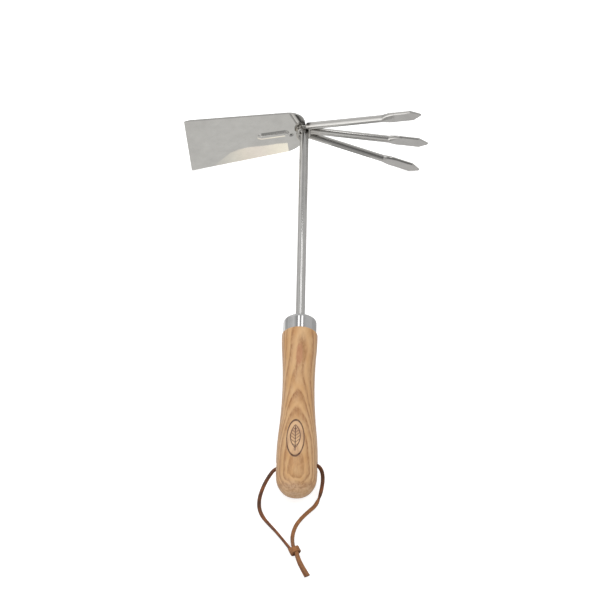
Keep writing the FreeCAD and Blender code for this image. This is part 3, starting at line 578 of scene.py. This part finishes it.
def leather():
    n = Nodes("leather_lace")
    c = n.node("ShaderNodeTexCoord")
    uv = n.split(c.outputs["UV"])
    long = n.noise(n.coords(scale=(210, 210, 210)), 1.0, 3.0, 0.6)
    grain = n.noise(n.coords(scale=(2600, 2600, 2600)), 1.0, 3.0, 0.6)
    fibre = n.noise(n.join(n.math("MULTIPLY", uv[0], 26.0), n.math("MULTIPLY", uv[1], 1.6), 0.0), 1.0, 3.0, 0.6)
    pebble = n.node("ShaderNodeTexVoronoi", feature="DISTANCE_TO_EDGE")
    n.link(n.coords(scale=(3200, 3200, 3200)), pebble.inputs["Vector"])
    pebble.inputs["Scale"].default_value = 1.0
    cell = n.range(pebble.outputs[0], 0.0, 0.25, 0.0, 1.0)
    # one face is dyed and smooth, the other is the paler flesh side; the cut edges are paler still
    face = n.range(n.math("SINE", n.math("MULTIPLY", uv[0], 2 * math.pi)), -0.05, 0.50, 0.0, 1.0, kind="SMOOTHSTEP")
    edge = n.math("ABSOLUTE", n.math("COSINE", n.math("MULTIPLY", uv[0], 2 * math.pi)))
    edge = n.range(edge, 0.80, 0.97, 0.0, 1.0, kind="SMOOTHSTEP")
    dyed = n.mix(n.range(long, 0.35, 0.65, 0.0, 1.0), lin(72, 44, 28), lin(112, 68, 42))
    flesh = n.mix(n.range(long, 0.35, 0.65, 0.0, 1.0), lin(144, 98, 62), lin(174, 116, 68))
    # painted highlight and wear: orange patches on the dyed face, partly rubbed wear and partly standing in for an
    # orange glint
    rub_and_highlight = n.range(n.noise(n.join(n.math("MULTIPLY", uv[0], 3.0), n.math("MULTIPLY", uv[1], 0.22), 3.0), 1.0, 2.0, 0.5), 0.50, 0.66, 0.0, 1.0)
    dyed = n.mix(n.math("MULTIPLY", rub_and_highlight, 0.75), dyed, lin(160, 94, 48))
    base = n.mix(face, dyed, flesh)
    base = n.mix(n.math("MULTIPLY", edge, 0.30), base, lin(150, 92, 54))
    base = n.mix(n.math("MULTIPLY", n.range(fibre, 0.42, 0.66, 0.0, 1.0), 0.40), base, lin(78, 46, 28))
    base = n.mix(n.math("MULTIPLY", n.range(grain, 0.35, 0.7, 0.0, 1.0), 0.22), base, lin(78, 46, 30))
    n.set(Base_Color=base, Roughness=n.range(grain, 0.3, 0.7, 0.48, 0.68), Sheen_Weight=0.12, Sheen_Roughness=0.5, Specular_IOR_Level=0.4)
    height = n.math("ADD", n.math("ADD", n.math("MULTIPLY", cell, 0.4), n.math("MULTIPLY", grain, 0.4)), n.math("MULTIPLY", fibre, 0.5))
    n.set(Normal=n.bump(height, 0.6, 0.00012))
    return n.material


def epoxy():
    n = Nodes("epoxy_bond")
    cloud = n.noise(n.coords(scale=(400, 400, 400)), 1.0, 3.0, 0.6)
    n.set(Base_Color=n.mix(cloud, lin(206, 184, 136), lin(182, 156, 108)), Roughness=0.35)
    n.set(Normal=n.bump(cloud, 0.2, 0.0001))
    return n.material


def give(o, material):
    o.data.materials.clear()
    o.data.materials.append(material)


ASH = ash()
# the dark spots given to the shaft, blade, tines and weld below are painted shade: near-black spots standing in for the
# shadow in the weld's gaps and at the tines' roots, and for the shade in the blade's dimple
SHAFT = steel("polished_bar", (0.64, 0.632, 0.62), 0.085, along=(2.2, 0.05, 2.2), lines=0.25, bump=0.1, tint=((0, 321, 0), 8.0, (0.40, 0.36, 0.30)),
              painted_shade=(((1.9, 317.2, 3.0), (1, 1.5, 1), 1.9, 0.9),))
BLADE = steel("polished_sheet", (0.64, 0.632, 0.612), 0.06, along=(0.25, 1.8, 1.8), lines=0.18, mottle=0.05, bump=0.06, tint=((0, 321, 0), 7.0, (0.42, 0.38, 0.32)),
              painted_shade=(((-10.5, 318.65, -3.9), (1, 0.45, 1), 2.8, 0.6),))
TINE = steel("polished_tine", (0.60, 0.59, 0.572), 0.10, along=(0.08, 2.0, 2.0), lines=0.3, bump=0.12, tint=((3, 321, 0), 16.0, (0.42, 0.39, 0.35)),
             painted_shade=(((11.5, 320.5, 3.3), (3.2, 1, 0.8), 2.1, 0.85), ((3.6, 320.6, 8.4), (1.3, 1.2, 0.9), 2.6, 0.92), ((11.0, 319.5, -4.6), (3.0, 1, 0.8), 1.7, 0.7)))
FERRULE = steel("satin_ferrule", (0.63, 0.63, 0.632), 0.06, along=(0.5, 2.4, 0.5), lines=0.2, bump=0.08)
WELD = steel("weld_metal", (0.54, 0.525, 0.50), 0.12, along=(0.9, 0.9, 0.9), lines=0.4, mottle=0.14, bump=0.5, distance=0.0002,
             painted_shade=(((1.9, 318.0, 3.2), (1, 1, 1), 2.2, 0.9), ((0.4, 321.6, 6.2), (2, 1, 1), 1.6, 0.8), ((-6.5, 316.9, -1.0), (1, 1.3, 3.4), 1.4, 0.85), ((4.0, 320.2, 8.6), (1.6, 1, 0.8), 2.4, 0.9)))
LEATHER = leather()
EPOXY = epoxy()

give(NODES["handle"], ASH)
give(NODES["ferrule"], FERRULE)
give(NODES["tang_adhesive"], EPOXY)
give(NODES["shaft"], SHAFT)
give(NODES["blade"], BLADE)
for k in ("tine_upper", "tine_middle", "tine_lower"):
    give(NODES[k], TINE)
give(weld_beads, WELD)
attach(weld_beads, "root")
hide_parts("head_weld")
for o in (lace_left, lace_right, tail_left, tail_right, knot_one, knot_two):
    give(o, LEATHER)

for o in (lace_left, lace_right, tail_left, tail_right, knot_one, knot_two):
    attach(o, "root")
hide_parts("lace_left")
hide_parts("lace_right")
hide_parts("lace_tail_left")
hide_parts("lace_tail_right")
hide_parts("lace_knot")
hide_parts("lace_knot")

# ---------------------------------------------------------------- floor and light
def plane(name, low, high, z, material):
    """A flat rectangle of the studio, not part of the object."""
    mesh = bpy.data.meshes.new(name)
    mesh.from_pydata([(low[0], low[1], z), (high[0], low[1], z), (high[0], high[1], z), (low[0], high[1], z)], [], [(0, 1, 2, 3)])
    o = bpy.data.objects.new(name, mesh)
    scene.collection.objects.link(o)
    give(o, material)
    return o


def paper(name, low, high, glow):
    n = Nodes(name)
    grit = n.noise(n.coords(scale=(60, 60, 60)), 1.0, 2.0, 0.5)
    n.set(Base_Color=n.mix(n.range(grit, 0.3, 0.7, 0.0, 1.0), low, high), Roughness=0.9, Specular_IOR_Level=0.1)
    n.set(Emission_Color=(1.0, 1.0, 1.0), Emission_Strength=glow)
    return n.material


# the paper that is looked at, lit from under like a light table, and the one that lights and mirrors in the metal
floor = plane("floor", (-3, -3), (3, 3), -0.0002, paper("floor_paper", (0.72, 0.72, 0.72), (0.73, 0.73, 0.73), 0.66))
floor.visible_diffuse = floor.visible_glossy = floor.visible_transmission = floor.visible_shadow = False
table = plane("table", (-3, -3), (3, 3), -0.0006, paper("table_paper", (0.50, 0.50, 0.497), (0.52, 0.52, 0.516), 0.0))
table.visible_camera = False


def card(name, points, z, colour):
    """A glowing card on the table that shows only in the metal's polish; points in millimetres."""
    mesh = bpy.data.meshes.new(name)
    mesh.from_pydata([(x / 1000, y / 1000, z) for x, y in points], [], [tuple(range(len(points)))])
    o = bpy.data.objects.new(name, mesh)
    scene.collection.objects.link(o)
    n = Nodes(name)
    n.set(Base_Color=(0.0, 0.0, 0.0), Roughness=1.0, Specular_IOR_Level=0.0, Emission_Strength=1.0)
    n.set(Emission_Color=colour(n))
    give(o, n.material)
    o.visible_camera = o.visible_diffuse = o.visible_shadow = False
    return o


def grey_card(n):
    cloud = n.noise(n.coords(scale=(22, 22, 22)), 1.0, 2.0, 0.5)
    return n.mix(n.range(cloud, 0.3, 0.7, 0.0, 1.0), (0.73, 0.725, 0.71), (0.79, 0.785, 0.77))


def cream_card(n):
    x = n.split(n.coords())[0]
    cloud = n.noise(n.coords(scale=(70, 30, 1)), 1.0, 2.0, 0.5)
    tone = n.ramp(n.range(x, -0.080, -0.008, 0.0, 1.0), [
        (0.0, (0.76, 0.755, 0.74)), (0.12, (0.80, 0.79, 0.76)), (0.30, (1.02, 0.99, 0.90)),
        (0.45, (1.20, 1.12, 1.00)), (0.62, (1.24, 1.14, 1.04)), (0.80, (1.40, 1.32, 1.14)), (1.0, (1.44, 1.38, 1.20))])
    return n.mix(n.math("MULTIPLY", n.range(cloud, 0.35, 0.65, 0.0, 1.0), 0.35), tone, (1.10, 1.06, 0.98))


# in front of the hoe blade lie a grey card and, on it, a warm one
card("grey_card", [(-120, 84), (14, 84), (14, 158), (-120, 158)], -0.0005, grey_card)
card("cream_card", [
    (-78, 156), (-74, 145), (-66.4, 141.6), (-58.9, 137.8), (-51.8, 136.8), (-43.6, 136.7), (-35.5, 138.2),
    (-27.7, 139.5), (-19.4, 140.4), (-10.0, 142.2), (-11.5, 150.5), (-12.5, 156)], -0.0004, cream_card)

# bright paper on the left of the shaft and towards the camera, a paler patch under the tines' ends, and one right of the shaft
card("white_card", [(-9, 82), (-50, 82), (-62, 10), (-420, -560), (-330, -720), (-64, -100), (-28, 0)], -0.0004, lambda n: n.mix(n.range(n.split(n.coords())[1], -0.6, 0.08, 0.0, 1.0), (1.35, 1.34, 1.32), (1.02, 1.01, 1.0)))
card("tine_card", [(48, 82), (120, 82), (120, 160), (48, 160)], -0.0004, lambda n: n.mix(n.noise(n.coords(scale=(40, 40, 40)), 1.0, 2.0, 0.5), (0.66, 0.655, 0.65), (0.74, 0.735, 0.73)))

world = bpy.data.worlds.new("studio")
scene.world = world
world.use_nodes = True
wt = world.node_tree
wt.nodes.clear()
wout = wt.nodes.new("ShaderNodeOutputWorld")
wbg = wt.nodes.new("ShaderNodeBackground")
wt.links.new(wbg.outputs[0], wout.inputs[0])
wco = wt.nodes.new("ShaderNodeTexCoord")


def glow(total, towards, inner, outer, amount):
    """Adds a soft round patch of light, or of shade, to the studio's walls; the angles are in degrees."""
    d = wt.nodes.new("ShaderNodeVectorMath")
    d.operation = "DOT_PRODUCT"
    wt.links.new(wco.outputs["Generated"], d.inputs[0])
    d.inputs[1].default_value = Vector(towards).normalized()
    m = wt.nodes.new("ShaderNodeMapRange")
    m.interpolation_type = "SMOOTHSTEP"
    wt.links.new(d.outputs["Value"], m.inputs[0])
    m.inputs[1].default_value = math.cos(math.radians(outer))
    m.inputs[2].default_value = math.cos(math.radians(inner))
    m.inputs[3].default_value = 0.0
    m.inputs[4].default_value = amount
    s = wt.nodes.new("ShaderNodeMath")
    s.operation = "ADD"
    if isinstance(total, float):
        s.inputs[0].default_value = total
    else:
        wt.links.new(total, s.inputs[0])
    wt.links.new(m.outputs[0], s.inputs[1])
    return s.outputs[0]


walls = 0.64
walls = glow(walls, (-0.66, -0.66, 0.30), 6, 52, 0.85)      # the large softbox, left of the camera
walls = glow(walls, (-0.75, 0.25, 0.60), 5, 50, 0.14)       # pale wall on the left
walls = glow(walls, (0.10, -0.15, 1.0), 20, 52, -0.26)      # dim ceiling
walls = glow(walls, (0.20, -0.80, 0.45), 15, 48, -0.28)     # the dim side that the camera stands on
walls = glow(walls, (-0.10, 1.0, 0.05), 5, 35, 0.30)        # pale horizon behind
walls = glow(walls, (-0.60, 0.72, 0.34), 2, 22, 0.18)
walls = glow(walls, (0.55, -0.10, 0.80), 5, 38, -0.12)
walls = glow(walls, (-0.32, 0.38, 0.87), 2, 20, -0.24)      # dark gap beside the ceiling strips
walls = glow(walls, (-0.49, -0.59, 0.64), 6, 44, -0.18)     # shade over the softbox
walls = glow(walls, (-0.64, -0.77, 0.00), 4, 24, 0.45)      # the softbox's bright foot
walls = glow(walls, (-0.92, 0.16, 0.34), 4, 32, -0.25)
walls = glow(walls, (-0.30, -0.88, 0.34), 4, 24, -0.22)
wt.links.new(walls, wbg.inputs[1])
wbg.inputs[0].default_value = (1.0, 0.995, 0.985, 1)


def softbox(name, place, target, width, height, radiance, colour=(1, 1, 1)):
    """A soft light of that radiance."""
    data = bpy.data.lights.new(name, "AREA")
    data.shape = "RECTANGLE"
    data.size, data.size_y = width, height
    data.energy = radiance * math.pi * width * height
    data.color = colour
    o = bpy.data.objects.new(name, data)
    scene.collection.objects.link(o)
    o.location = place
    o.rotation_mode = "QUATERNION"
    o.rotation_quaternion = (Vector(target) - Vector(place)).to_track_quat("-Z", "Y")
    return o


# two ceiling strips behind the tool, and the key light high on the left
softbox("strip_left", (-0.155, 0.52, 1.15), (-0.155, 0.52, 0.0), 0.22, 0.40, 1.75)
softbox("strip_right", (0.315, 0.52, 1.15), (0.315, 0.52, 0.0), 0.22, 0.40, 1.75)
key = softbox("key", (-0.7, 0.7, 1.6), (0, 0, 0), 1.2, 1.2, 1.7)
key.visible_glossy = False
fill = softbox("fill", (0.9, 0.1, 1.5), (0, 0, 0), 1.2, 1.2, 2.0)
fill.visible_glossy = False
front = softbox("front", (0.1, -1.3, 0.35), (0, -0.1, 0.0), 0.9, 0.5, 2.1)
front.visible_glossy = False

scene.view_settings.view_transform = "Standard"
scene.view_settings.look = "None"
scene.view_settings.exposure = 0.0
scene.view_settings.gamma = 1.0
